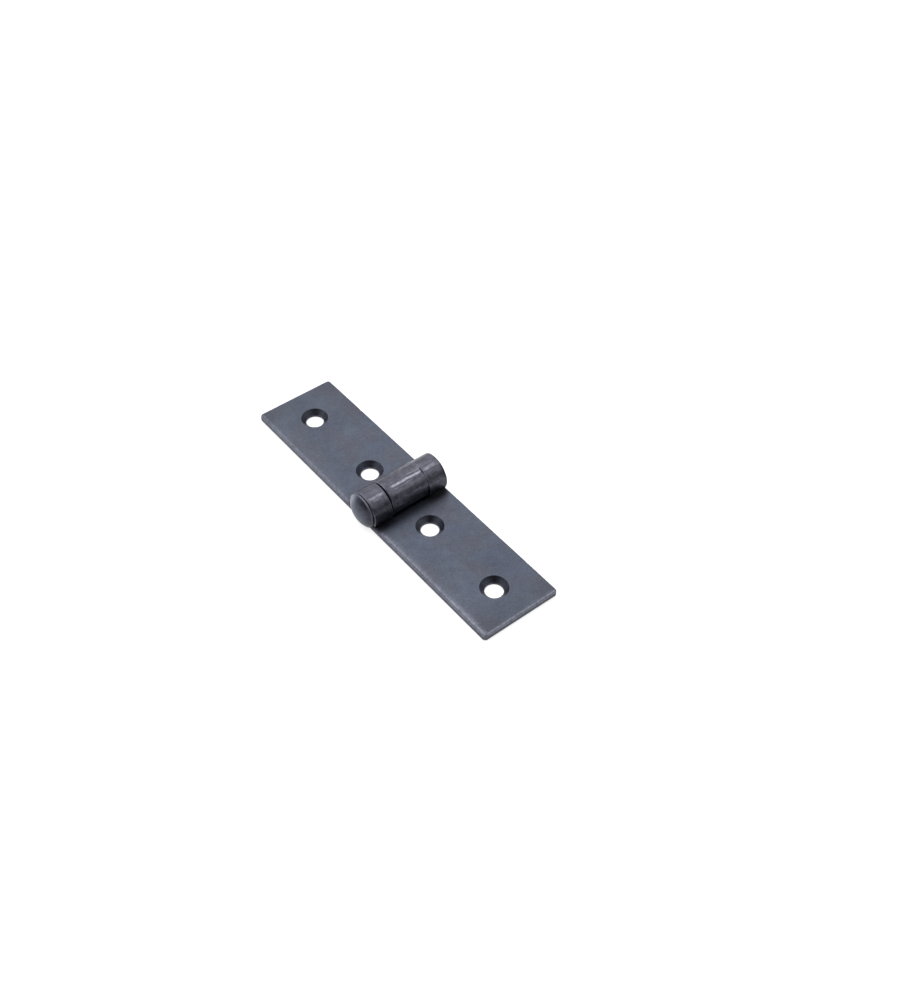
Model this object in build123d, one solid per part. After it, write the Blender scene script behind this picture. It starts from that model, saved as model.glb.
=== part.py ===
from build123d import *
import math
import os

# Steel strap hinge lying open and flat.
# Frame: +Z up, the leaves rest on z = 0.  X runs along the pin, Y along the leaves.
# y = 0 is under the pin axis; x = 0 is the middle of the length over the pin's head.
# -Y leaf: two outer knuckles.  +Y leaf: one centre knuckle.
# All lengths in millimetres, angles in degrees.

# ---- leaves -------------------------------------------------------------
leaf_width = 25.4          # along the pin
leaf_reach = 53.3          # pin axis to the free end
leaf_thick = 2.2
corner_round = 0.8         # plan corners at the free ends
top_edge_round = 0.8       # rolled-over edges on the barrel side
back_edge_round = 0.3      # edges on the side that lies on the surface

# ---- barrel -------------------------------------------------------------
barrel_radius = 5.4        # outside of the rolled knuckles
bore_radius = barrel_radius - leaf_thick
curl_ease = 0.35           # past the top the curl opens out: its radius is this much larger, its
                           # centre this much lower
curl_end_angle = 28.0      # curl stops this far below the horizontal, just off its own leaf
curl_end_round = 0.3
knuckle_front = 6.15       # centre knuckle, from the middle of the leaves towards the head
knuckle_rear = 6.35        # and towards the plain end, where it almost meets the rear knuckle
slot_half = 6.5            # half width between the two outer knuckles
shoulder = 4.7             # pin axis to the cut-back edge facing the other leaf's knuckles
cut_edge_round = 0.25      # knuckle ends beside the two gaps

# ---- pin ----------------------------------------------------------------
pin_radius = 3.15          # running clearance 0.05 in the tight half of the bore
pin_stop = 2.0             # the plain end sits this far inside the rear knuckle
pin_chamfer = 0.5
head_gap = 0.15            # between the head and the front knuckle
head_radius = 5.25
head_rim = 0.55            # straight part of the head
head_dome = 2.0            # height of the dome above the rim
head_back_round = 0.15

# ---- screw holes --------------------------------------------------------
hole_radius = 2.65
sink_radius = 4.1          # countersink mouth on the barrel side, 90 degree cone
mouth_round = 0.15         # broken edge round the mouth
hole_first = 13.9          # pin axis to the first hole
hole_pitch = 28.0
far_hole_shift = -0.4      # the +Y leaf's holes sit slightly off its middle line

# ---- derived ------------------------------------------------------------
half = leaf_width / 2
head_reach = half + head_gap + head_rim + head_dome     # middle of the leaves to the head's crown
mid_x = (head_reach - half) / 2                         # middle of the leaves in the frame
hole_ys = (hole_first, hole_first + hole_pitch)
eased_radius = barrel_radius + curl_ease
eased_z = barrel_radius - curl_ease                     # height of the wider part's centre


def strip_section():
    """Cross-section of the strip in the XZ plane at y = 0, back face on z = 0."""
    with BuildSketch(Plane.XZ) as s:
        with Locations((0, leaf_thick / 2)):
            Rectangle(leaf_width, leaf_thick)
        top = s.vertices().filter_by_position(Axis.Z, leaf_thick - 0.01, leaf_thick + 0.01)
        fillet(top, top_edge_round)
        low = s.vertices().filter_by_position(Axis.Z, -0.01, 0.01)
        fillet(low, back_edge_round)
    return s.sketch.faces()[0]


def flat_leaf():
    """The flat of the -Y leaf, from its free end to the line under the pin axis."""
    with BuildPart() as b:
        with Locations((0, -leaf_reach / 2, leaf_thick / 2)):
            Box(leaf_width, leaf_reach, leaf_thick)
        ends = b.edges().filter_by(Axis.Z).group_by(Axis.Y)[0]
        fillet(ends, corner_round)
        back = b.faces().sort_by(Axis.Y)[-1]
        keep = [e for e in b.faces().sort_by(Axis.Z)[-1].edges()
                if e.center().Y < -0.01]
        fillet(keep, top_edge_round)
        keep = [e for e in b.faces().sort_by(Axis.Z)[0].edges()
                if e.center().Y < -0.01]
        fillet(keep, back_edge_round)
    return b.part


def curl():
    """The rolled end: the strip's section turned about the pin axis, from under the barrel,
    up the +Y side to the top, then a little wider down to the -Y leaf's own face."""
    axis = Axis((0, 0, barrel_radius), (1, 0, 0))
    tight = revolve(strip_section(), axis, 180.0)
    top = strip_section().rotate(axis, 180.0)
    wide = revolve(top, Axis((0, 0, eased_z), (1, 0, 0)), 90.0 + curl_end_angle)
    return tight + wide


def sunk_holes(xc, side):
    """Two screw holes, countersunk on the barrel side."""
    out = []
    depth = sink_radius - hole_radius
    for y in hole_ys:
        hole = Pos(xc, side * y, leaf_thick / 2) * Cylinder(hole_radius, leaf_thick * 3)
        extra = 0.5
        cone = Pos(xc, side * y, leaf_thick - depth) * Cone(
            hole_radius, sink_radius + extra, depth + extra,
            align=(Align.CENTER, Align.CENTER, Align.MIN))
        out += [hole, cone]
    return out


def slab(x0, x1, y0, y1, z0=-20.0, z1=30.0):
    return Pos((x0 + x1) / 2, (y0 + y1) / 2, (z0 + z1) / 2) * Box(x1 - x0, y1 - y0, z1 - z0)


def rolled_leaf():
    """-Y leaf with a curl over its whole width, before the knuckles are cut out."""
    return flat_leaf() + curl()


def knuckle_end_edges(part, planes):
    """Edges of the knuckle ends that face a gap, on the planes x = each value."""
    out = []
    for e in part.edges():
        bb = e.bounding_box()
        for x in planes:
            if abs(bb.min.X - x) < 1e-4 and abs(bb.max.X - x) < 1e-4:
                c = e.center()
                outer = e.geom_type == GeomType.CIRCLE and min(
                    abs(e.radius - barrel_radius), abs(e.radius - eased_radius)) < 0.01
                if outer and bb.size.Z > 1.0:
                    out.append(e)
    return out


def curl_end_edges(part):
    """Outer straight edge of each curl's end."""
    y = -eased_radius * math.cos(math.radians(curl_end_angle))
    z = eased_z - eased_radius * math.sin(math.radians(curl_end_angle))
    out = []
    for e in part.edges():
        c = e.center()
        if e.geom_type == GeomType.LINE and abs(c.Y - y) < 0.02 and abs(c.Z - z) < 0.02:
            out.append(e)
    return out


def finish_leaf(leaf, planes, mouths):
    """Small roundings: curl end, knuckle ends beside the gaps, countersink mouths."""
    leaf = fillet(curl_end_edges(leaf), curl_end_round)
    leaf = fillet(knuckle_end_edges(leaf, planes), cut_edge_round)
    rims = [e for e in leaf.edges() if e.geom_type == GeomType.CIRCLE
            and abs(e.radius - sink_radius) < 0.01 and abs(e.center().Z - leaf_thick) < 0.01]
    return fillet(rims, mouths)


# -Y leaf: slot for the other leaf's knuckle
near = rolled_leaf()
near = near - slab(-slot_half, slot_half, -shoulder, 40.0)
near = near - slab(-slot_half, slot_half, -40.0, 40.0, leaf_thick)
for tool in sunk_holes(0.0, -1):
    near = near - tool
near = finish_leaf(near, (-slot_half, slot_half), mouth_round)

# +Y leaf: the same rolled strip, its outer thirds cut back to the shoulders, then turned round,
# so that what is built towards +X ends up towards the head
far = rolled_leaf()
for x0, x1 in ((-40.0, -knuckle_rear), (knuckle_front, 40.0)):
    far = far - slab(x0, x1, -shoulder, 40.0)
    far = far - slab(x0, x1, -40.0, 40.0, leaf_thick)
for tool in sunk_holes(-far_hole_shift, -1):
    far = far - tool
far = finish_leaf(far, (-knuckle_rear, knuckle_front), mouth_round)
far = far.rotate(Axis.Z, 180.0)


def pin_solid():
    """Headed pin: half profile in the XZ plane, turned about the X axis."""
    x_end = half - pin_stop
    x_back = -(half + head_gap)            # underside of the head
    x_rim = x_back - head_rim
    x_top = x_rim - head_dome
    rho = (head_radius ** 2 + head_dome ** 2) / (2 * head_dome)
    # point halfway along the dome's arc
    a = math.asin(head_radius / rho) / 2
    mid = (x_top + rho * (1 - math.cos(a)), rho * math.sin(a))
    with BuildPart() as b:
        with BuildSketch(Plane.XZ):
            with BuildLine():
                l1 = Line((x_top, 0), (x_end, 0))
                l2 = Polyline((x_end, 0), (x_end, pin_radius - pin_chamfer),
                              (x_end - pin_chamfer, pin_radius),
                              (x_back, pin_radius), (x_back, head_radius),
                              (x_rim, head_radius))
                l3 = ThreePointArc((x_rim, head_radius), mid, (x_top, 0))
            make_face()
        revolve(axis=Axis.X, revolution_arc=360.0)
        rim = b.edges().filter_by(GeomType.CIRCLE)
        rim = [e for e in rim if abs(e.radius - head_radius) < 0.01]
        fillet(rim, head_back_round)
    return b.part


pin = Pos(0, 0, barrel_radius) * pin_solid()


place = Pos(mid_x, 0, 0)
nodes = {
    "leaf_two_knuckles": place * near,
    "leaf_centre_knuckle": place * far,
    "hinge_pin": place * pin,
}

os.makedirs("parts", exist_ok=True)
for name, shape in nodes.items():
    solids = shape.solids()
    body = solids[0] if len(solids) == 1 else Compound(children=list(solids))
    export_step(body, "parts/" + name + ".step")
    bb = body.bounding_box()
    print(name, "solids", len(solids), "volume", round(body.volume, 1),
          "x %.2f..%.2f y %.2f..%.2f z %.2f..%.2f" % (bb.min.X, bb.max.X, bb.min.Y, bb.max.Y, bb.min.Z, bb.max.Z))
print("middle of the leaves at x =", mid_x)
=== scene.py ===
import math

import bpy
import bmesh
import numpy as np
from mathutils import Matrix, Vector, noise
from mathutils.geometry import delaunay_2d_cdt


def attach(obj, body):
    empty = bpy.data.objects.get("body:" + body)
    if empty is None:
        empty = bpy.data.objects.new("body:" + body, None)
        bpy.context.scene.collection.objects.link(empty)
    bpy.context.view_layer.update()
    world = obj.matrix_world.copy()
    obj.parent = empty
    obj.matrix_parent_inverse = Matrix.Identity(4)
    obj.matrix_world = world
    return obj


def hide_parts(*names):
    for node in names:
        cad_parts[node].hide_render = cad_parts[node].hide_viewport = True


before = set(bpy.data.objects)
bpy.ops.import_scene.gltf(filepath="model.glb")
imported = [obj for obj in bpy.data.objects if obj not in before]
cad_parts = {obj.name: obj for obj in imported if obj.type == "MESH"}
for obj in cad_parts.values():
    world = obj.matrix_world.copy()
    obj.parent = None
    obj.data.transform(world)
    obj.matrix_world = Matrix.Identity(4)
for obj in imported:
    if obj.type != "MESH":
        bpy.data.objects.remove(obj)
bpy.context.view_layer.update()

MM = 0.001

# ---------------------------------------------------------------- dimensions, in millimetres
HALF = 12.7            # half the leaf's width
REACH = 53.3           # pin axis to the free end
T = 2.2                # strip thickness
R = 5.4                # outside of the knuckles
MIDR = R - T / 2
EASE = 0.35            # past the top the curl opens out by this much
HALF_TURN = math.pi * MIDR
CURL = HALF_TURN + math.radians(90.0 + 28.0) * (MIDR + EASE)   # length rolled, along the strip's middle
K_FRONT, K_REAR = 6.15, 6.35                # centre knuckle towards the head and the plain end
SLOT = 6.5             # half width between the outer knuckles
SHOULDER = 4.7
HOLE = 2.65
SINK = 4.1
HOLE_Y = (-13.9, -41.9)
MID_X = 1.35           # middle of the leaves in the frame
FAR_SHIFT = 0.4        # the far leaf's holes, in its own frame before it is turned round
PIN_R = 3.15
HEAD_GAP, HEAD_RIM, HEAD_DOME, HEAD_R = 0.15, 0.55, 2.0, 5.25
CORNER = 1.0


def smooth(a, b, v):
    t = np.clip((np.asarray(v, float) - a) / (b - a), 0.0, 1.0)
    return t * t * (3 - 2 * t)


def round_at(deg):
    """Place along the strip that lies at this angle round the knuckle (0 below, 180 on top)."""
    return math.radians(min(deg, 180)) * MIDR + math.radians(max(deg - 180, 0)) * (MIDR + EASE)


def noise3(pts, scale, seed, octaves=1):
    """Smooth noise of each point (N x 3, in mm), about -1..1."""
    out = np.zeros(len(pts))
    amp, f, total = 1.0, 1.0 / scale, 0.0
    for k in range(octaves):
        off = Vector((seed * 17.13 + k * 5.7, seed * 3.71 - k * 9.1, seed * 8.93 + k * 2.3))
        out += amp * np.array([noise.noise(Vector(p) * f + off) for p in pts.tolist()])
        total += amp
        amp *= 0.5
        f *= 2.0
    return out / total


# ---------------------------------------------------------------- one leaf
def corner(c, rho, a0, a1, n):
    """Points and outward normals round a corner of the outline."""
    out = []
    for k in range(n + 1):
        a = math.radians(a0 + (a1 - a0) * k / n)
        out.append((c[0] + abs(rho) * math.cos(a), c[1] + abs(rho) * math.sin(a),
                    math.cos(a) * (1 if rho > 0 else -1), math.sin(a) * (1 if rho > 0 else -1)))
    return out


def straight(p, q, n, step):
    """Points strictly between p and q with the normal n."""
    L = math.dist(p, q)
    k = max(2, round(L / step))
    return [(p[0] + (q[0] - p[0]) * i / k, p[1] + (q[1] - p[1]) * i / k, n[0], n[1]) for i in range(1, k)]


def fine_straight(p, q, n):
    """As straight, with shorter steps where the strip is rolled."""
    pts = []
    s0, s1 = p[1], q[1]
    knots = sorted({s0, s1, *[v for v in (0.0,) if min(s0, s1) < v < max(s0, s1)]}, reverse=s0 > s1)
    for a, b in zip(knots, knots[1:]):
        step = 0.24 if min(a, b) >= -0.01 else 0.4
        pts += straight((p[0], a), (p[0], b), n, step)
        if b != s1:
            pts.append((p[0], b, n[0], n[1]))
    return pts


def outline(kind):
    """The flat blank's outline, anticlockwise: x, s, outward normal x, s.  s = 0 is under the pin axis."""
    o = []
    c, e, i = CORNER, 0.35, 0.35
    S = CURL
    o += corner((-HALF + c, -REACH + c), c, 180, 270, 12)
    o += straight((-HALF + c, -REACH), (HALF - c, -REACH), (0, -1), 0.4)
    o += corner((HALF - c, -REACH + c), c, 270, 360, 12)
    if kind == "outer":
        o += fine_straight((HALF, -REACH + c), (HALF, S - e), (1, 0))
        o += corner((HALF - e, S - e), e, 0, 90, 5)
        o += straight((HALF - e, S), (SLOT + e, S), (0, 1), 0.4)
        o += corner((SLOT + e, S - e), e, 90, 180, 5)
        o += fine_straight((SLOT, S - e), (SLOT, -SHOULDER + i), (-1, 0))
        o += corner((SLOT - i, -SHOULDER + i), -i, 360, 270, 5)
        o += straight((SLOT - i, -SHOULDER), (-SLOT + i, -SHOULDER), (0, 1), 0.4)
        o += corner((-SLOT + i, -SHOULDER + i), -i, 270, 180, 5)
        o += fine_straight((-SLOT, -SHOULDER + i), (-SLOT, S - e), (1, 0))
        o += corner((-SLOT - e, S - e), e, 0, 90, 5)
        o += straight((-SLOT - e, S), (-HALF + e, S), (0, 1), 0.4)
        o += corner((-HALF + e, S - e), e, 90, 180, 5)
        o += fine_straight((-HALF, S - e), (-HALF, -REACH + c), (-1, 0))
    else:
        # built towards -Y and turned round afterwards, so +x here ends up towards the head
        k = 0.3
        o += fine_straight((HALF, -REACH + c), (HALF, -SHOULDER - k), (1, 0))
        o += corner((HALF - k, -SHOULDER - k), k, 0, 90, 5)
        o += straight((HALF - k, -SHOULDER), (K_FRONT + i, -SHOULDER), (0, 1), 0.4)
        o += corner((K_FRONT + i, -SHOULDER + i), -i, 270, 180, 5)
        o += fine_straight((K_FRONT, -SHOULDER + i), (K_FRONT, S - e), (1, 0))
        o += corner((K_FRONT - e, S - e), e, 0, 90, 5)
        o += straight((K_FRONT - e, S), (-K_REAR + e, S), (0, 1), 0.4)
        o += corner((-K_REAR + e, S - e), e, 90, 180, 5)
        o += fine_straight((-K_REAR, S - e), (-K_REAR, -SHOULDER + i), (-1, 0))
        o += corner((-K_REAR - i, -SHOULDER + i), -i, 360, 270, 5)
        o += straight((-K_REAR - i, -SHOULDER), (-HALF + k, -SHOULDER), (0, 1), 0.4)
        o += corner((-HALF + k, -SHOULDER - k), k, 90, 180, 5)
        o += fine_straight((-HALF, -SHOULDER - k), (-HALF, -REACH + c), (-1, 0))
    return np.array(o)


def inside(poly, pts):
    """Even-odd test of pts (N x 2) in the closed polygon."""
    x, y = pts[:, 0], pts[:, 1]
    res = np.zeros(len(pts), bool)
    a, b = poly, np.roll(poly, -1, 0)
    for (x0, y0), (x1, y1) in zip(a, b):
        if y0 == y1:
            continue
        m = (y0 > y) != (y1 > y)
        res ^= m & (x < (x1 - x0) * (y - y0) / (y1 - y0) + x0)
    return res


def near_loop(loop, pts, d):
    """True for each of pts nearer than d to a vertex or edge middle of the loop."""
    q = np.vstack([loop, (loop + np.roll(loop, -1, 0)) / 2])
    out = np.zeros(len(pts), bool)
    for k in range(0, len(pts), 2000):
        p = pts[k:k + 2000]
        out[k:k + 2000] = ((p[:, None, :] - q[None]) ** 2).sum(2).min(1) < d * d
    return out


def seeds(step_flat, step_roll, rows):
    """Places for the inner vertices: rows along the outer edges, an even grid elsewhere."""
    out = []
    for d in rows:
        for x in (-HALF + d, HALF - d):
            out += [(x, s) for s in np.arange(-REACH + rows[-1] + 0.35, -0.3, 0.4)]
        out += [(x, -REACH + d) for x in np.arange(-HALF + 0.9, HALF - 0.85, 0.4)]
    lim = (rows[-1] if rows else 0.0) + 0.3
    xs = np.arange(-HALF + 0.2, HALF, step_flat)
    levels = list(np.arange(-REACH + lim, -0.3, step_flat * 0.87))
    for j, s in enumerate(levels):
        out += [(x, s) for x in xs + (step_flat / 2 if j % 2 else 0) if abs(x) < HALF - lim]
    xs = np.arange(-HALF + 0.15, HALF, step_roll * 1.15)
    for j, s in enumerate(np.arange(0.0, CURL, step_roll)):
        out += [(x, s) for x in xs + (step_roll * 0.575 if j % 2 else 0)]
    return np.array(out)


def fill(outer, holes, start, grid):
    """Triangles between the outer loop and the holes.  outer and holes are (points, vertex numbers).
    Returns new points (x, s) numbered from start, and triangles."""
    ok = inside(outer[0], grid)
    for h, _ in holes:
        ok &= ~inside(h, grid)
    grid = grid[ok]
    ok = ~near_loop(outer[0], grid, 0.17)
    for h, _ in holes:
        ok &= ~near_loop(h, grid, 0.2)
    grid = grid[ok]
    pts, ids, edges = [], [], []
    for loop, nums in [outer] + holes:
        n0 = len(pts)
        pts += loop.tolist()
        ids += list(nums)
        edges += [(n0 + k, n0 + (k + 1) % len(loop)) for k in range(len(loop))]
    ids += list(range(start, start + len(grid)))
    pts += grid.tolist()
    v, _, faces, orig, _, _ = delaunay_2d_cdt([Vector(p) for p in pts], edges, [], 0, 1e-7)
    v = np.array([tuple(p) for p in v])
    back = [o[0] if o else None for o in orig]
    tri = np.array([f for f in faces if len(f) == 3 and all(back[i] is not None for i in f)])
    cen = v[tri].mean(1)
    ok = inside(outer[0], cen)
    for h, _ in holes:
        ok &= ~inside(h, cen)
    tri = tri[ok]
    return grid, [[ids[back[i]] for i in f] for f in tri]


def eased(d, width):
    """1 at an edge, falling smoothly to 0 at width inside it."""
    return np.clip(1 - np.maximum(d, 0.0) / width, 0.0, 1.0) ** 2


def leaf_mesh(name, kind, hole_shift, seed):
    """One rolled leaf, built flat as its blank, then rolled round the pin axis."""
    left = -1.0 if kind == "outer" else 1.0         # the side that ends up at -X
    o = outline(kind)
    n = len(o)
    P, N = o[:, :2], o[:, 2:]
    rim_side = (np.abs(np.abs(P[:, 0]) - HALF) < CORNER + 0.01) & (np.abs(N[:, 0]) > 0.01)
    rim_side |= P[:, 1] < -REACH + CORNER + 0.01
    rolled = smooth(-2.5, 0.5, P[:, 1])
    nx = N[:, 0] * left
    rt = 0.6 + N[:, 0] ** 2 * np.where(nx > 0, 0.3, -0.1) - (0.1 if kind == "outer" else 0.0) * (N[:, 1] < -0.5)
    rt = np.where(rim_side, rt * (1 - rolled) + 0.3 * rolled, 0.25)
    rb = np.where(rim_side, 0.28 + (1 - rolled) * (0.17 * np.maximum(nx, 0) ** 2 + 0.25 * (N[:, 1] < -0.5)), 0.20)
    front = P[:, 0] * left > 0
    if kind == "outer":
        over = smooth(round_at(150), round_at(175), P[:, 1]) * (1 - smooth(round_at(222), round_at(240), P[:, 1]))
    else:
        over = smooth(round_at(120), round_at(140), P[:, 1]) * (1 - smooth(round_at(185), round_at(210), P[:, 1]))
    rb = np.where(front & ~rim_side, 0.25 + 0.10 * over, rb)
    # the joint towards the pin's plain end is tighter, but for one place
    if kind == "outer":
        tight = (P[:, 0] > 0) & ~rim_side
        open_at = smooth(round_at(186), round_at(193), P[:, 1]) * (1 - smooth(round_at(204), round_at(214), P[:, 1]))
    else:
        tight = (P[:, 0] < 0) & ~rim_side
        open_at = smooth(round_at(146), round_at(156), P[:, 1]) * (1 - smooth(round_at(167), round_at(174), P[:, 1]))
    rb = np.where(tight, 0.03 + 0.19 * open_at, rb)
    rings, turns = [], []
    for a in (0, 12, 24, 36, 48, 60, 75, 90):
        turns.append(a)
        a = math.radians(a)
        rings.append((P - N * (rt * (1 - math.sin(a)))[:, None], T - rt * (1 - math.cos(a))))
    for f in (0.33, 0.66):
        turns.append(90)
        rings.append((P, (T - rt) * (1 - f) + rb * f))
    for a in (90, 72, 54, 36, 18, 0):
        turns.append(180 - a)
        a = math.radians(a)
        rings.append((P - N * (rb * (1 - math.sin(a)))[:, None], rb * (1 - math.cos(a))))
    verts, polys = [], []
    for q, z in rings:
        verts += [(q[i, 0], q[i, 1], z[i]) for i in range(n)]
    for r in range(len(rings) - 1):
        for i in range(n):
            j = (i + 1) % n
            polys.append((r * n + i, (r + 1) * n + i, (r + 1) * n + j, r * n + j))
    top_loop = (rings[0][0], range(0, n))
    low0 = (len(rings) - 1) * n
    low_loop = (rings[-1][0], range(low0, low0 + n))
    cavity = [0.0] * len(verts)
    mouth = [0.0] * len(verts)
    # screw holes: mouth, cone with turning marks, straight land, back edge, with painted shade down the hole
    m = 112
    th = np.linspace(0, 2 * math.pi, m, endpoint=False)
    tops_h, lows_h = [], []
    depth = SINK - HOLE
    for hi, hy in enumerate(HOLE_Y):
        cx = hole_shift
        prof = [(SINK + 0.55, T, 0.0, 0.0), (SINK + 0.3, T - 0.002, 0.0, 0.0)]
        mr = 0.24
        for a in (0, 15, 30, 45):
            rim_shade = a / 45 * 0.6
            a = math.radians(a)
            # rounding from the face into the 45 degree cone
            prof.append((SINK + mr * math.tan(math.radians(22.5)) - mr * math.sin(a),
                         T - 0.004 - mr * (1 - math.cos(a)), rim_shade, 0.25))
        # painted shade on the cone, lighter towards the bore, and a painted highlight along its inner edge
        k = 30
        r0, z0 = prof[-1][0], prof[-1][1]
        for q in range(1, k + 1):
            f = q / k
            rr, zz = r0 + (HOLE + 0.02 - r0) * f, z0 + (T - depth - 0.02 - z0) * f
            groove = 0.011 * math.sin(2 * math.pi * 5.0 * f + hi) * (1 - abs(2 * f - 1) ** 4)
            prof.append((rr + groove * 0.7, zz + groove * 0.7, 1.12 - 0.17 * f, 0.9 * (f > 0.95)))
        zb = T - depth
        prof.append((HOLE, zb - 0.05, 0.6, 0.5))
        for f in (0.3, 0.6, 1.0):
            prof.append((HOLE, zb - 0.05 + (0.1 - zb + 0.05) * f, 1.0, 0.0))
        prof.append((HOLE + 0.03, 0.03, 0.7, 0.0))
        prof.append((HOLE + 0.10, 0.0, 0.3, 0.0))
        base = len(verts)
        # painted shade lies unevenly round the cone; the angle is the one after the far leaf is turned round
        round_deg = (np.degrees(th) + (0 if kind == "outer" else 180)) % 360
        lobe = lambda mid_deg, wide: np.exp(-((round_deg - mid_deg) / wide) ** 2)
        cone_shade = 0.58 + 0.36 * lobe(50, 15) - 0.18 * lobe(108, 22) - 0.08 * lobe(18, 14)
        for rr, zz, cav, mo in prof:
            verts += [(cx + rr * math.cos(a), hy + rr * math.sin(a), zz) for a in th]
            cavity += (cav * cone_shade).tolist()
            mouth += [mo] * m
        for r in range(len(prof) - 1):
            for i in range(m):
                j = (i + 1) % m
                polys.append((base + r * m + i, base + r * m + j, base + (r + 1) * m + j, base + (r + 1) * m + i))
        ring = np.stack([cx + prof[0][0] * np.cos(th), hy + prof[0][0] * np.sin(th)], 1)
        tops_h.append((ring, range(base, base + m)))
        last = base + (len(prof) - 1) * m
        ring = np.stack([cx + prof[-1][0] * np.cos(th), hy + prof[-1][0] * np.sin(th)], 1)
        lows_h.append((ring, range(last, last + m)))
    grid, tri = fill(top_loop, tops_h, len(verts), seeds(0.45, 0.3, (0.85, 1.15, 1.45, 1.8, 2.2)))
    verts += [(p[0], p[1], T) for p in grid]
    polys += tri
    grid2, tri = fill(low_loop, lows_h, len(verts), seeds(0.55, 0.24, ()))
    verts += [(p[0], p[1], 0.0) for p in grid2]
    polys += [t[::-1] for t in tri]
    flat = np.array(verts)
    cavity = np.array(cavity)
    cones = cavity > 0.01
    patchy = noise3(np.array(verts[:len(cavity)])[cones], 1.3, seed + 2, 2)
    cavity[cones] *= 1 + 0.5 * patchy
    rest = len(verts) - len(cavity)
    cavity = np.append(cavity, [0.0] * rest)
    mouth = np.array(mouth + [0.0] * rest)

    x, s, z = flat.T
    ang = np.minimum(np.maximum(s, 0.0), HALF_TURN) / MIDR + np.maximum(s - HALF_TURN, 0.0) / (MIDR + EASE)
    d_left = HALF - x * left
    d_right = HALF + x * left
    d_end = s + REACH
    up = smooth(0.6, 1.9, z)             # barrel side of the strip
    dn = 1 - smooth(0.2, 0.9, z)         # back of the strip, and outside of the knuckles
    plate = 1 - smooth(-2.0, 0.5, s)
    curl = smooth(0.2, 1.2, s)

    # worn, rolled-over borders
    if kind == "outer":
        dz = 0.16 * eased(d_left, 1.9) + 0.17 * eased(d_end, 1.25)
    else:
        dz = 0.10 * eased(d_left, 1.3) + 0.05 * eased(d_end, 1.1)
    dz = -up * plate * (dz + 0.035 * eased(d_right, 1.2))
    if kind == "outer":
        dz += dn * curl * 0.03 * (eased(d_left, 1.0) + eased(d_right, 1.0))
        gap = np.minimum(np.abs(x - SLOT), np.abs(x + SLOT))
    else:
        gap = np.minimum(np.abs(x - K_FRONT), np.abs(x + K_REAR))
    dz += dn * curl * 0.02 * eased(gap, 0.55) * (1 - smooth(1.0, 3.0, x * (1 if kind == "outer" else -1)))

    # unevenness of the blank; only ever into the metal
    low = noise3(np.stack([x, s, z * 0], 1), 9.0, seed, 2)
    mid = noise3(np.stack([x, s, z * 0], 1), 2.4, seed + 5, 2)
    skin = 0.030 * (low - 0.6) + 0.009 * (mid - 0.5)
    quiet = np.where(cavity > 0.01, 0.3, 1.0)
    dz += up * plate * np.minimum(skin, 0.0) * quiet - dn * (1 - curl) * np.minimum(0.4 * skin, 0.0) * quiet

    # nicks along the free edges
    rng = np.random.default_rng(seed * 101 + 7)
    dx = np.zeros(len(flat))
    ds = np.zeros(len(flat))
    rim = np.where(np.tile(rim_side, 8) & (s[:8 * n] < -5.5))[0]
    rim = rim[rim >= 3 * n]
    for _ in range(34):
        k = int(rng.choice(rim))
        rad = rng.uniform(0.2, 0.6)
        dep = rng.uniform(0.02, 0.08) * rad / 0.4
        d = np.sqrt(((flat - flat[k]) ** 2).sum(1))
        w = np.exp(-(d / rad) ** 2 * 2.5) * dep
        dx -= w * N[k % n][0] * 0.7
        ds -= w * N[k % n][1] * 0.7
        dz -= w * 0.7
    # a few shallow scuffs on the barrel side
    for _ in range(14):
        cx, cs = rng.uniform(-11, 11), rng.uniform(-51, -7)
        a = rng.uniform(0, math.pi)
        L, wd = rng.uniform(0.8, 3.0), rng.uniform(0.15, 0.35)
        u = (x - cx) * math.cos(a) + (s - cs) * math.sin(a)
        v = -(x - cx) * math.sin(a) + (s - cs) * math.cos(a)
        dz -= up * plate * rng.uniform(0.004, 0.012) * np.exp(-(u / L) ** 2 - (v / wd) ** 2)
    # sheared burr that nearly closes the joint towards the plain end
    at = x - SLOT if kind == "outer" else x + K_REAR
    shut = np.zeros(len(flat))
    shut[:len(rings) * n] = np.tile(tight * (1 - open_at), len(rings))
    dx -= 0.052 * shut * dn * curl * np.exp(-(at / 0.12) ** 2)
    x, s, z = x + dx, s + ds, np.maximum(z + dz, 0.0)

    # roll: everything past s = 0 goes round the pin axis
    rad = R - z
    # faint flats left by the rolling die
    lobes = 0.016 * np.cos(ang * 7.0 + seed) + 0.010 * np.cos(ang * 15.0 + 2.1 * seed)
    lobes += 0.010 * noise3(np.stack([x * 0.25, ang * 4.0, z * 0], 1), 1.0, seed + 11, 2)
    out = smooth(0.35, 0.9, ang) * (1 - smooth(0.5, 1.6, z))
    rad = rad - out * (0.030 + lobes)
    deg = np.degrees(ang)
    if kind == "outer":
        # a burr turned outwards at the plain end
        rad = rad + 0.11 * smooth(HALF - 1.0, HALF - 0.2, x) * smooth(194, 212, deg) * (1 - smooth(0.3, 1.2, z))
    wide = s > HALF_TURN
    rad = rad + EASE * wide
    X = x
    Y = np.where(s > 0, rad * np.sin(ang), s)
    Z = np.where(s > 0, R - EASE * wide - rad * np.cos(ang), z)
    pts = np.stack([X, Y, Z], 1)
    if kind == "centre":
        pts[:, 0] *= -1
        pts[:, 1] *= -1
    pts[:, 0] += MID_X

    # where the finish is rubbed bright, which also paints in highlights, and where shade is painted in
    fx, fs, fz = flat.T
    shape = lambda d, w: np.exp(-(np.maximum(d, 0.0) / w) ** 2)
    high = smooth(1.45, 1.8, fz) * plate
    if kind == "outer":
        side = np.exp(-((np.maximum(d_left, 0.0) - 0.40) / 0.93) ** 2) * (0.82 - 0.24 * smooth(-40, -34, fs))
        end = 1.0 * np.exp(-((np.maximum(d_end, 0.0) - 0.18) / 0.50) ** 2)
    else:
        side = np.exp(-((np.maximum(d_left, 0.0) - 0.05) / 0.62) ** 2) * 0.68
        end = 0.25 * shape(d_end, 0.3)
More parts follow.
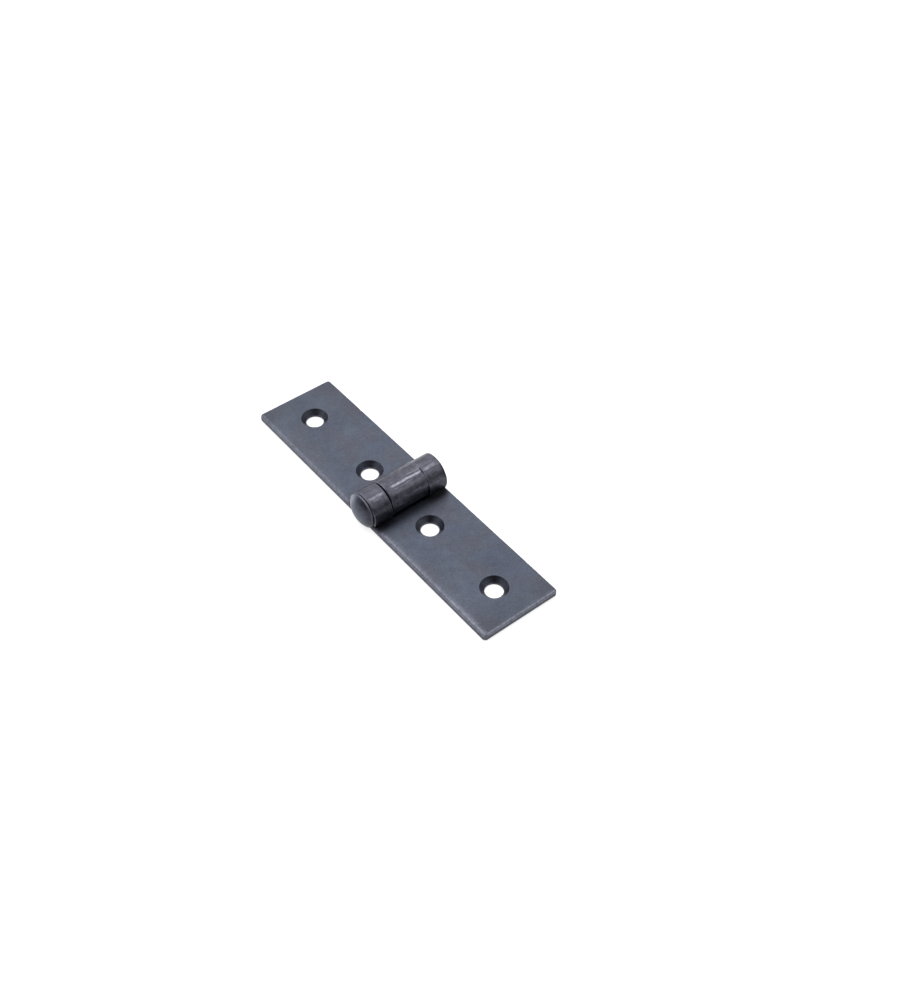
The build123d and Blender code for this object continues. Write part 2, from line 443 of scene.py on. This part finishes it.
    # how far each vertex's face is turned over the border: 0 on top, 90 on the wall
    turn = np.zeros(len(flat))
    turn[:len(rings) * n] = np.repeat(turns, n)
    faces_up = plate * smooth(1.2, 1.4, fz) * (1 - smooth(63, 88, turn))
    # rubbed edges that also carry painted highlights, strongest along the -X edge, and only on faces turned upwards
    wear = faces_up * np.maximum.reduce([side, 0.28 * shape(d_right, 0.3), end])
    ends = dn * curl * shape(gap, 0.26) * 0.6
    if kind == "outer":
        ends = np.maximum(ends, dn * curl * 0.35 * shape(d_left, 0.4))
    wear = np.maximum.reduce([wear, 0.8 * ends, 0.44 * mouth])
    # painted shade on the knuckles' lower -Y side, down towards the near plate, and at the outer knuckle's plain end
    if kind == "outer":
        shift = 4 * smooth(-8, 9, fx)
        under = 0.40 * smooth(215 + shift, 233 + shift, deg) + 0.40 * smooth(233 + shift, 265 + shift, deg)
        plain_end = smooth(HALF - 0.9, HALF - 0.25, fx) * smooth(190, 205, deg) * 0.8
    else:
        under = (0.36 * (1 - smooth(118, 140, deg)) + 0.26 * (1 - smooth(85, 118, deg))) * smooth(52, 92, deg)
        plain_end = 0.0
    under = under * dn * curl
    # painted shadow of the barrel on the plates beside it
    foot = -8.35 + 0.7 * smooth(10.5, 12.6, fx * -left)
    deep = 1 - (0.55 if kind == "outer" else 0.0) * (1 - smooth(5.0, 7.5, np.abs(fx)))
    beside = high * (0.42 * smooth(-9.8, -6.0, fs) + 0.55 * deep * smooth(foot, foot + 1.9, fs))
    rim = np.minimum(np.minimum(d_left, d_right), d_end)
    # painted shade on the strip's side walls
    walls = plate * shape(rim, 0.25) * smooth(59, 85, turn) * (0.56 + 0.02 * (d_end < 0.3))
    # painted shade on the slot's walls and on the knuckle ends facing across the joints
    slot_walls = smooth(-5.4, -4.9, fs) * (1 - smooth(0.5, 2.5, fs)) * smooth(0.25, 0.9, fz) * 0.95
    slot_walls = np.maximum(slot_walls, curl * shape(gap, 0.06) * smooth(0.12, 0.35, fz) * 0.9)
    cavity = np.maximum.reduce([cavity, 0.85 * under, beside, walls, slot_walls, dn * curl * plain_end])
    rub = plate * up * (0.5 if kind == "outer" else 0.35) * shape(d_left, 4.0)
    # duller, browner finish towards the free end and its corners
    near_corner = 1 - smooth(2.0, 9.0, np.minimum(d_left, d_right))
    dull = plate * (0.40 + 0.60 * near_corner) * (1 - smooth(2.5, 9.0, d_end))

    mesh = bpy.data.meshes.new(name)
    mesh.from_pydata((pts * MM).tolist(), [], polys)
    obj = bpy.data.objects.new(name, mesh)
    bpy.context.scene.collection.objects.link(obj)
    attributes(mesh, edge_wear=wear, cavity=cavity, barrel=dn * smooth(0.3, 3.0, fs), rub=rub, dull=dull)
    # the strip's own flat coordinates, so that the finish follows the metal round the curl
    st = mesh.attributes.new("strip", "FLOAT_VECTOR", "POINT")
    st.data.foreach_set("vector", flat.astype(np.float32).ravel())
    return obj


def attributes(mesh, **values):
    for label, v in values.items():
        at = mesh.attributes.new(label, "FLOAT", "POINT")
        at.data.foreach_set("value", np.clip(v, 0, 1).astype(np.float32))


# ---------------------------------------------------------------- the pin
def pin_mesh(name):
    """Half profile turned round the pin axis: dome, rim, underside, shank, chamfer, plain end."""
    x_end = HALF - 2.0
    x_back = -(HALF + HEAD_GAP)
    x_rim = x_back - HEAD_RIM
    x_top = x_rim - HEAD_DOME
    hr, dome = HEAD_R, HEAD_DOME
    rho = (hr * hr + dome * dome) / (2 * dome)
    # the profile's last column is painted shade, for the hollow under the head and along the shank
    prof = []                                     # x, radius, wear, cavity
    a1 = math.asin(hr / rho)
    for k in range(1, 45):
        a = a1 * k / 44 * 0.965
        prof.append((x_top + rho * (1 - math.cos(a)), rho * math.sin(a), 0.08 * smooth(0.8, 1.0, k / 44), 0.0))
    # rounded brow into the rim
    px, pr = prof[-1][:2]
    for f in (0.2, 0.4, 0.6, 0.8, 1.0):
        q = f * math.pi / 2
        prof.append((px + (x_rim + 0.10 - px) * (1 - math.cos(q)), pr + (hr - pr) * math.sin(q), 0.5 * math.sin(q) ** 2, 0.0))
    prof.append((x_rim + 0.25, hr, 0.45, 0.0))
    prof.append((x_back - 0.14, hr, 0.4, 0.0))
    for f in (0.35, 0.7, 1.0):
        q = f * math.pi / 2
        prof.append((x_back - 0.13 * (1 - math.sin(q)), hr - 0.13 * (1 - math.cos(q)), 0.5, 0.2))
    for r in (4.6, 4.2, 3.8, 3.4, PIN_R + 0.05):
        prof.append((x_back, r, 0.0, 0.9))
    prof.append((x_back + 0.05, PIN_R, 0.0, 1.0))
    for x in np.linspace(x_back + 0.4, x_end - 0.6, 26):
        prof.append((x, PIN_R, 0.0, 1.0))
    prof.append((x_end - 0.5, PIN_R, 0.3, 0.6))
    for f in (0.25, 0.5, 0.75, 1.0):
        prof.append((x_end - 0.5 + 0.5 * f, PIN_R - 0.5 * f, 0.3, 0.4))
    for r in (2.4, 2.0, 1.5, 1.0, 0.5):
        prof.append((x_end, r, 0.0, 0.3))
    m = 144
    th = np.linspace(0, 2 * math.pi, m, endpoint=False)
    verts, wear, cav, polys = [(x_top, 0.0, 0.0)], [0.0], [0.0], []
    for x, r, w, c in prof:
        verts += [(x, r * math.cos(a), r * math.sin(a)) for a in th]
        wear += [w] * m
        cav += [c] * m
    last = len(verts)
    verts.append((x_end, 0.0, 0.0))
    wear.append(0.0)
    cav.append(0.3)
    for i in range(m):
        j = (i + 1) % m
        polys.append((0, 1 + i, 1 + j))
        for r in range(len(prof) - 1):
            a, b = 1 + r * m, 1 + (r + 1) * m
            polys.append((a + i, b + i, b + j, a + j))
        polys.append((last, 1 + (len(prof) - 1) * m + j, 1 + (len(prof) - 1) * m + i))
    flat = np.array(verts)
    p = flat.copy()
    # the head was struck: a slightly flattened, uneven dome
    head = 1 - smooth(x_rim - 0.1, x_rim + 0.1, p[:, 0])
    radial = np.hypot(p[:, 1], p[:, 2]) / hr
    cav = np.array(cav)
    # painted shade round the brow on the -Y side, and over the lower part of the dome
    cav = np.maximum(cav, 0.80 * head * smooth(0.35, 1.0, radial) * (1 - smooth(-0.15, 0.5, p[:, 1] / hr))
                     * (1 - 0.6 * smooth(0.2, 0.8, -p[:, 2] / hr)))
    cav = np.maximum(cav, 0.45 * head * smooth(0.2, 0.9, radial) * smooth(0.45, 0.95, -p[:, 2] / hr))
    # painted highlight: the +Y side of the dome is made lighter
    wear = np.maximum(np.array(wear), 0.62 * head * smooth(0.25, 0.8, radial) * smooth(0.10, 0.65, p[:, 1] / hr))
    lump = noise3(p, 3.4, 21, 2)
    fine = noise3(p, 0.9, 22, 1)
    p[:, 0] += head * (0.07 + 0.07 * lump + 0.006 * fine)
    p[:, 2] += R
    p[:, 0] += MID_X
    mesh = bpy.data.meshes.new(name)
    mesh.from_pydata((p * MM).tolist(), [], polys)
    obj = bpy.data.objects.new(name, mesh)
    bpy.context.scene.collection.objects.link(obj)
    attributes(mesh, edge_wear=np.array(wear), cavity=np.array(cav), barrel=head * 0, rub=head * 0, dull=head * 0)
    st = mesh.attributes.new("strip", "FLOAT_VECTOR", "POINT")
    st.data.foreach_set("vector", flat.astype(np.float32).ravel())
    return obj


def tidy(obj):
    """Outward normals, smooth faces, sharp only at real corners."""
    bm = bmesh.new()
    bm.from_mesh(obj.data)
    bmesh.ops.recalc_face_normals(bm, faces=bm.faces)
    open_edges = sum(1 for e in bm.edges if not e.is_manifold)
    bm.to_mesh(obj.data)
    bm.free()
    obj.data.shade_smooth()
    obj.data.set_sharp_from_angle(angle=math.radians(50))
    print(obj.name, "faces", len(obj.data.polygons), "open edges", open_edges)


# ---------------------------------------------------------------- finish
class Nodes:
    """Short hand for building a material's nodes."""

    def __init__(self, name):
        self.mat = bpy.data.materials.new(name)
        self.mat.use_nodes = True
        self.nt = self.mat.node_tree
        self.nt.nodes.clear()
        self.count = 0

    def add(self, kind, **values):
        n = self.nt.nodes.new(kind)
        n.location = (200 * (self.count % 12) - 1400, 600 - 220 * (self.count // 12))
        self.count += 1
        for k, v in values.items():
            setattr(n, k, v)
        return n

    def put(self, socket, v):
        if isinstance(v, bpy.types.NodeSocket):
            self.nt.links.new(v, socket)
        elif isinstance(v, tuple) and len(v) == 3 and socket.type == "RGBA":
            socket.default_value = (*v, 1)
        else:
            socket.default_value = v

    def attr(self, name, out="Fac"):
        return self.add("ShaderNodeAttribute", attribute_name=name).outputs[out]

    def math(self, op, a, b=0.0, c=0.0, clamp=False):
        n = self.add("ShaderNodeMath", operation=op, use_clamp=clamp)
        for k, v in enumerate((a, b, c)):
            self.put(n.inputs[k], v)
        return n.outputs[0]

    def range(self, v, a, b, c=0.0, d=1.0, soft=True):
        n = self.add("ShaderNodeMapRange", interpolation_type="SMOOTHSTEP" if soft else "LINEAR")
        for k, val in enumerate((v, a, b, c, d)):
            self.put(n.inputs[k], val)
        return n.outputs["Result"]

    def noise(self, vec, scale, detail=2.0, rough=0.55, off=(0, 0, 0), stretch=(1, 1, 1)):
        mp = self.add("ShaderNodeMapping")
        mp.inputs["Location"].default_value = off
        mp.inputs["Scale"].default_value = stretch
        self.nt.links.new(vec, mp.inputs["Vector"])
        n = self.add("ShaderNodeTexNoise")
        n.inputs["Scale"].default_value = scale
        n.inputs["Detail"].default_value = detail
        n.inputs["Roughness"].default_value = rough
        self.nt.links.new(mp.outputs[0], n.inputs["Vector"])
        return n.outputs["Fac"]

    def ramp(self, fac, *stops):
        r = self.add("ShaderNodeValToRGB")
        el = r.color_ramp.elements
        while len(el) < len(stops):
            el.new(0.5)
        for e, (p, c) in zip(el, stops):
            e.position = p
            e.color = (*c, 1) if isinstance(c, tuple) else (c, c, c, 1)
        self.nt.links.new(fac, r.inputs[0])
        return r.outputs[0]

    def mix(self, fac, a, b, mode="MIX"):
        m = self.add("ShaderNodeMix", data_type="RGBA", blend_type=mode)
        self.put(m.inputs[0], fac)
        self.put(m.inputs[6], a)
        self.put(m.inputs[7], b)
        return m.outputs[2]


def steel(name, seed, tone=1.0, rough=0.42, die_line_highlights=(), spots=(), even=0.45):
    """Dark blue-grey patina over steel: clouded colour, fine grain, bright rubbed edges that also carry painted
    highlights, painted shade in hollows and gaps, under and beside the barrel and on the walls, and bright lines
    along the knuckles where the rolling die drew the metal, lightened as painted highlights."""
    g = Nodes(name)
    out = g.add("ShaderNodeOutputMaterial")
    bsdf = g.add("ShaderNodeBsdfPrincipled")
    g.put(out.inputs[0], bsdf.outputs[0])
    bsdf.inputs["Metallic"].default_value = 1.0
    strip = g.attr("strip", "Vector")
    wear, cav, barrel = g.attr("edge_wear"), g.attr("cavity"), g.attr("barrel")
    rub, dull = g.attr("rub"), g.attr("dull")
    sep = g.add("ShaderNodeSeparateXYZ")
    g.put(sep.inputs[0], strip)
    sx, ss = sep.outputs[0], sep.outputs[1]

    clouds = g.noise(strip, 0.13, 3.0, 0.5, (seed, seed * 2, 0))
    broad = g.noise(strip, 0.055, 1.0, 0.5, (seed * 3, 5, 2))
    tints = g.noise(strip, 0.42, 2.0, 0.5, (seed + 9, 3, 1))
    speck = g.noise(strip, 1.5, 2.0, 0.6, (seed, 7, 5))
    grain = g.noise(strip, 4.2, 1.0, 0.6, (2, seed, 8))
    blots = g.noise(strip, 0.75, 2.0, 0.6, (4, seed, 3))
    drawn = g.noise(strip, 1.0, 2.0, 0.6, (seed, 1, 4), (0.22, 2.2, 0.4))
    fine_drawn = g.noise(strip, 1.0, 1.0, 0.5, (3, seed, 2), (0.3, 7.0, 0.8))

    t = tone
    plate = g.ramp(clouds, (0.36, (0.1055 * t, 0.120 * t, 0.164 * t)), (0.5, (0.108 * t, 0.1215 * t, 0.161 * t)),
                   (0.66, (0.114 * t, 0.1215 * t, 0.153 * t)))
    plate = g.mix(1.0, plate, g.ramp(tints, (0.36, (0.985, 1.01, 1.005)), (0.64, (1.015, 0.992, 0.998))), "MULTIPLY")
    smudge = g.range(g.noise(strip, 0.17, 2.0, 0.55, (7, seed, 3), (1.0, 0.6, 1.0)), 0.52, 0.68)
    plate = g.mix(g.math("MULTIPLY", smudge, 0.40), plate, (0.124 * t, 0.146 * t, 0.192 * t))
    brown = g.range(g.noise(strip, 0.15, 2.0, 0.55, (1, seed + 4, 6), (1.0, 0.7, 1.0)), 0.53, 0.70)
    plate = g.mix(g.math("MULTIPLY", brown, 0.45), plate, (0.108 * t, 0.106 * t, 0.128 * t))
    plate = g.mix(rub, plate, (0.150 * t, 0.160 * t, 0.196 * t))
    plate = g.mix(g.math("MULTIPLY", dull, 0.9), plate, (0.094 * t, 0.101 * t, 0.126 * t))
    roll = g.ramp(drawn, (0.32, (0.102 * t, 0.103 * t, 0.132 * t)), (0.5, (0.122 * t, 0.123 * t, 0.156 * t)),
                  (0.68, (0.154 * t, 0.156 * t, 0.191 * t)))
    roll = g.mix(1.0, roll, g.ramp(blots, (0.32, 0.82), (0.68, 1.18)), "MULTIPLY")
    col = g.mix(barrel, plate, roll)
    col = g.mix(1.0, col, g.ramp(speck, (0.3, 0.90), (0.7, 1.10)), "MULTIPLY")
    col = g.mix(1.0, col, g.ramp(broad, (0.34, 0.93), (0.66, 1.07)), "MULTIPLY")
    col = g.mix(1.0, col, g.ramp(grain, (0.3, 0.90), (0.7, 1.10)), "MULTIPLY")
    line = g.math("MULTIPLY", barrel, g.range(fine_drawn, 0.60, 0.72))
    col = g.mix(g.math("MULTIPLY", line, 0.22), col, (0.24, 0.245, 0.265))

    # single bright drawn lines, painted highlights along lines the rolling die drew: (s, half width, x from, x to,
    # strength)
    die_line_sheen = None
    wob = g.math("MULTIPLY_ADD", g.noise(strip, 1.0, 1.0, 0.5, (5, seed, 1), (0.35, 0.0, 0.0)), 0.8, -0.4)
    breaks = g.range(g.noise(strip, 1.0, 2.0, 0.6, (seed, 2, 9), (0.9, 3.0, 0.0)), 0.30, 0.62)
    for s0, half, xa, xb, strength in die_line_highlights:
        d = g.math("ABSOLUTE", g.math("SUBTRACT", g.math("SUBTRACT", ss, s0), wob))
        f = g.range(d, half, half * 0.25)
        f = g.math("MULTIPLY", f, g.range(sx, xa, xa + 1.0))
        f = g.math("MULTIPLY", f, g.range(sx, xb, xb - 1.0))
        f = g.math("MULTIPLY", f, g.math("MULTIPLY_ADD", breaks, 0.6, 0.4))
        f = g.math("MULTIPLY", f, strength)
        die_line_sheen = f if die_line_sheen is None else g.math("MAXIMUM", die_line_sheen, f)
    if die_line_sheen is not None:
        die_line_sheen = g.math("MULTIPLY", die_line_sheen, barrel)
        col = g.mix(die_line_sheen, col, (0.445, 0.458, 0.525))
    for (cx, cy, cz), radius, strength, colour in spots:
        dv = g.add("ShaderNodeVectorMath", operation="DISTANCE")
        g.put(dv.inputs[0], strip)
        dv.inputs[1].default_value = (cx, cy, cz)
        dn = g.math("MULTIPLY_ADD", tints, radius * 1.2, dv.outputs["Value"])
        f = g.math("MULTIPLY", g.range(dn, radius * 1.75, radius * 0.8), strength)
        col = g.mix(f, col, colour)

    # rubbed edges, also painted highlights, broken up by the noise
    broken = g.math("MULTIPLY_ADD", g.range(speck, 0.33, 0.62), 1 - even, even)
    wf = g.math("MULTIPLY", g.math("MULTIPLY", wear, broken), 1.12, clamp=True)
    col = g.mix(wf, col, (0.262, 0.275, 0.328))
    # painted shade: a near-black colour is mixed in wherever the mesh asks for shade
    dark = g.math("MULTIPLY", cav, g.range(blots, 0.32, 0.66, 0.92, 0.76), clamp=True)
    col = g.mix(dark, col, (0.023, 0.020, 0.027))
    g.put(bsdf.inputs["Base Color"], col)

    r = g.range(tints, 0.3, 0.7, rough - 0.04, rough + 0.06, False)
    r = g.math("ADD", r, g.range(grain, 0.3, 0.7, -0.02, 0.04, False))
    r = g.math("MULTIPLY_ADD", barrel, -0.08, r)
    r = g.math("MULTIPLY_ADD", wf, -0.06, r)
    r = g.math("MULTIPLY_ADD", dark, 0.07, r)
    if die_line_sheen is not None:
        r = g.math("MULTIPLY_ADD", die_line_sheen, -0.08, r)
    g.put(bsdf.inputs["Roughness"], r)

    h = g.math("MULTIPLY", grain, 0.5)
    h = g.math("MULTIPLY_ADD", speck, 1.0, h)
    h = g.math("ADD", h, g.math("MULTIPLY", barrel, g.math("MULTIPLY_ADD", fine_drawn, 0.8, g.math("MULTIPLY", drawn, 1.2))))
    bump = g.add("ShaderNodeBump")
    bump.inputs["Strength"].default_value = 0.5
    bump.inputs["Distance"].default_value = 0.00002
    g.put(bump.inputs["Height"], h)
    g.put(bsdf.inputs["Normal"], bump.outputs[0])
    return g.mat


leaf_near = leaf_mesh("leaf_two_knuckles_skin", "outer", 0.0, 3)
leaf_far = leaf_mesh("leaf_centre_knuckle_skin", "centre", FAR_SHIFT, 8)
pin = pin_mesh("hinge_pin_skin")
for o in (leaf_near, leaf_far, pin):
    tidy(o)
leaf_near.data.materials.append(steel("patina_steel_near", 3.0, die_line_highlights=(
    (round_at(200), 0.50, -12.3, -7.0, 0.36),
    (round_at(210), 0.25, -11.5, -8.0, 0.30),
    (round_at(185), 0.22, -11.0, -7.4, 0.15),
    (round_at(200), 0.62, 6.7, 11.6, 0.42),
    (round_at(186), 0.30, 7.2, 12.0, 0.10)), spots=(
    ((7.4, round_at(224), 0.0), 0.55, 0.50, (0.072, 0.060, 0.058)),
    ((-8.0, round_at(232), 0.0), 0.9, 0.40, (0.050, 0.044, 0.044)),
    ((-11.0, round_at(188), 0.0), 0.8, 0.25, (0.070, 0.070, 0.080)))))
leaf_far.data.materials.append(steel("patina_steel_far", 11.0, die_line_highlights=(
    (round_at(160.5), 0.38, -6.6, 4.6, 0.80),
    (round_at(149.5), 0.18, -3.0, 4.4, 0.36),
    (round_at(139), 0.70, -6.0, 5.6, 0.20),
    (round_at(206), 0.28, -6.4, -1.0, 0.35),
    (round_at(172), 0.30, -6.6, -1.2, 0.30)), spots=(
    ((5.1, round_at(170), 0.0), 0.75, 0.42, (0.060, 0.060, 0.070)),
    ((3.9, round_at(183), 0.0), 0.80, 0.34, (0.066, 0.066, 0.076)),
    ((4.9, round_at(196), 0.0), 0.60, 0.30, (0.066, 0.066, 0.076)),
    ((1.0, round_at(148), 0.0), 1.00, 0.30, (0.066, 0.064, 0.072)),
    ((4.4, round_at(128), 0.0), 1.20, 0.45, (0.046, 0.038, 0.040)))))
# the dark brownish spots round the brow on the dome's upper -Y side are painted reflections
pin.data.materials.append(steel("patina_steel_pin", 23.0, 0.72, 0.38, spots=(
    ((-13.75, -1.5, 4.4), 0.95, 0.75, (0.030, 0.025, 0.024)),
    ((-13.85, -2.8, 3.6), 0.80, 0.65, (0.040, 0.030, 0.030)),
    ((-14.90, -1.2, 2.3), 0.9, 0.35, (0.050, 0.048, 0.050)),
    ((-13.75, -4.3, 0.6), 0.80, 0.55, (0.042, 0.034, 0.034)),
    ((-13.85, -4.0, -1.3), 0.70, 0.40, (0.046, 0.040, 0.040))), even=0.8))
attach(leaf_near, "outer_leaf")
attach(leaf_far, "centre_leaf")
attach(pin, "outer_leaf")
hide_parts("leaf_two_knuckles")
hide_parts("leaf_centre_knuckle")
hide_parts("hinge_pin")

# ---------------------------------------------------------------- floor
bm = bmesh.new()
bmesh.ops.create_grid(bm, x_segments=8, y_segments=8, size=3.0)
fm = bpy.data.meshes.new("floor")
bm.to_mesh(fm)
bm.free()
floor = bpy.data.objects.new("floor", fm)
floor.location.z = -0.00002
bpy.context.scene.collection.objects.link(floor)
g = Nodes("pale_floor")
out = g.add("ShaderNodeOutputMaterial")
pb = g.add("ShaderNodeBsdfPrincipled")
g.put(out.inputs[0], pb.outputs[0])
pb.inputs["Roughness"].default_value = 0.9
pb.inputs["Specular IOR Level"].default_value = 0.1
pb.inputs["Emission Color"].default_value = (1.0, 1.0, 1.0, 1)
# a lit white table that glows evenly; beneath the slot under the knuckle, where it shows through the slot, a patch is
# painted near-black with no glow: a painted shadow
tc = g.add("ShaderNodeTexCoord")
sep = g.add("ShaderNodeSeparateXYZ")
g.put(sep.inputs[0], tc.outputs["Object"])
mx = g.range(g.math("ABSOLUTE", g.math("SUBTRACT", sep.outputs[0], 0.0022)), 0.0073, 0.0079)
my = g.range(g.math("ABSOLUTE", g.math("ADD", sep.outputs[1], 0.00295)), 0.0019, 0.0021)
lit = g.math("MAXIMUM", mx, my)
g.put(pb.inputs["Emission Strength"], g.math("MULTIPLY", lit, 0.70))
g.put(pb.inputs["Base Color"], g.mix(lit, (0.02, 0.018, 0.02), (0.74, 0.74, 0.74)))
fm.materials.append(g.mat)

# pale wall far behind, for views near the table's level; it takes no part in the light
bm = bmesh.new()
ring = bmesh.ops.create_circle(bm, segments=96, radius=2.9, cap_ends=False)["verts"]
edges = list({e for v in ring for e in v.link_edges})
lift = bmesh.ops.extrude_edge_only(bm, edges=edges)
bmesh.ops.translate(bm, vec=(0, 0, 2.5), verts=[v for v in lift["geom"] if isinstance(v, bmesh.types.BMVert)])
wm = bpy.data.meshes.new("backdrop")
bm.to_mesh(wm)
bm.free()
wm.shade_smooth()
wall = bpy.data.objects.new("backdrop", wm)
bpy.context.scene.collection.objects.link(wall)
g = Nodes("pale_wall")
out = g.add("ShaderNodeOutputMaterial")
em = g.add("ShaderNodeEmission")
em.inputs["Color"].default_value = (0.98, 0.98, 0.98, 1)
g.put(out.inputs[0], em.outputs[0])
wm.materials.append(g.mat)
for flag in ("visible_diffuse", "visible_glossy", "visible_transmission", "visible_volume_scatter", "visible_shadow"):
    setattr(wall, flag, False)

# ---------------------------------------------------------------- camera
YAW, PITCH, ROLL = 0.6809, 0.8224, 0.0101
fw = Vector((math.sin(YAW) * math.cos(PITCH), math.cos(YAW) * math.cos(PITCH), -math.sin(PITCH)))
rt = Vector((math.cos(YAW), -math.sin(YAW), 0.0))
up = rt.cross(fw)
c, s = math.cos(ROLL), math.sin(ROLL)
right = rt * c + up * s
upward = -rt * s + up * c
cam = bpy.data.cameras.new("camera")
cam.sensor_width = 36.0
cam.lens = 1335.16 * 36.0 / 1000.0
cam.clip_start = 0.01
cam.clip_end = 20.0
cam_o = bpy.data.objects.new("camera", cam)
m = Matrix((right, upward, -fw)).transposed().to_4x4()
m.translation = Vector((-6.0732 * 25 + MID_X - 0.05, -8.4020 * 25 - 0.09, 11.1989 * 25)) * MM
cam_o.matrix_world = m
bpy.context.scene.collection.objects.link(cam_o)
bpy.context.scene.camera = cam_o

# ---------------------------------------------------------------- light
def toward(az, el):
    az, el = math.radians(az), math.radians(el)
    return (math.sin(az) * math.cos(el), math.cos(az) * math.cos(el), math.sin(el))


AMBIENT = (0.12, 0.12, 0.124)
# soft panels round the object: azimuth from +Y towards +X, elevation, inner and outer radius
# in degrees, strength
PANELS = (
    ("wall_behind", 25, 18, 28, 78, 0.68),
    ("overhead", 42, 76, 20, 60, 0.56),
    ("right_high", 142, 46, 8, 34, 0.52),
    ("wall_right", 110, 12, 8, 34, 0.26),
    ("strip_right", 95, 66, 3, 13, 1.0),
    ("key_left", -48, 40, 12, 46, 0.78),
    ("low_right", 156, 10, 3, 21, 0.10),
)
world = bpy.data.worlds.new("studio")
bpy.context.scene.world = world
world.use_nodes = True
nt = world.node_tree
bg = nt.nodes["Background"]
tc = nt.nodes.new("ShaderNodeTexCoord")
total = None
for label, az, el_, r_in, r_out, power in PANELS:
    dot = nt.nodes.new("ShaderNodeVectorMath")
    dot.operation = "DOT_PRODUCT"
    dot.label = label
    dot.inputs[1].default_value = toward(az, el_)
    nt.links.new(tc.outputs["Generated"], dot.inputs[0])
    mr = nt.nodes.new("ShaderNodeMapRange")
    mr.interpolation_type = "SMOOTHSTEP"
    mr.inputs["From Min"].default_value = math.cos(math.radians(r_out))
    mr.inputs["From Max"].default_value = math.cos(math.radians(r_in))
    mr.inputs["To Min"].default_value = 0.0
    mr.inputs["To Max"].default_value = power
    nt.links.new(dot.outputs["Value"], mr.inputs["Value"])
    if total is None:
        total = mr.outputs["Result"]
    else:
        ad = nt.nodes.new("ShaderNodeMath")
        ad.operation = "ADD"
        nt.links.new(total, ad.inputs[0])
        nt.links.new(mr.outputs["Result"], ad.inputs[1])
        total = ad.outputs[0]
comb = nt.nodes.new("ShaderNodeVectorMath")
comb.operation = "ADD"
comb.inputs[1].default_value = AMBIENT
nt.links.new(total, comb.inputs[0])
nt.links.new(comb.outputs["Vector"], bg.inputs["Color"])
bg.inputs["Strength"].default_value = 1.0

sc = bpy.context.scene
sc.view_settings.view_transform = "Standard"
sc.view_settings.look = "None"
sc.view_settings.exposure = 0.0
sc.view_settings.gamma = 1.0
sc.cycles.use_denoising = True
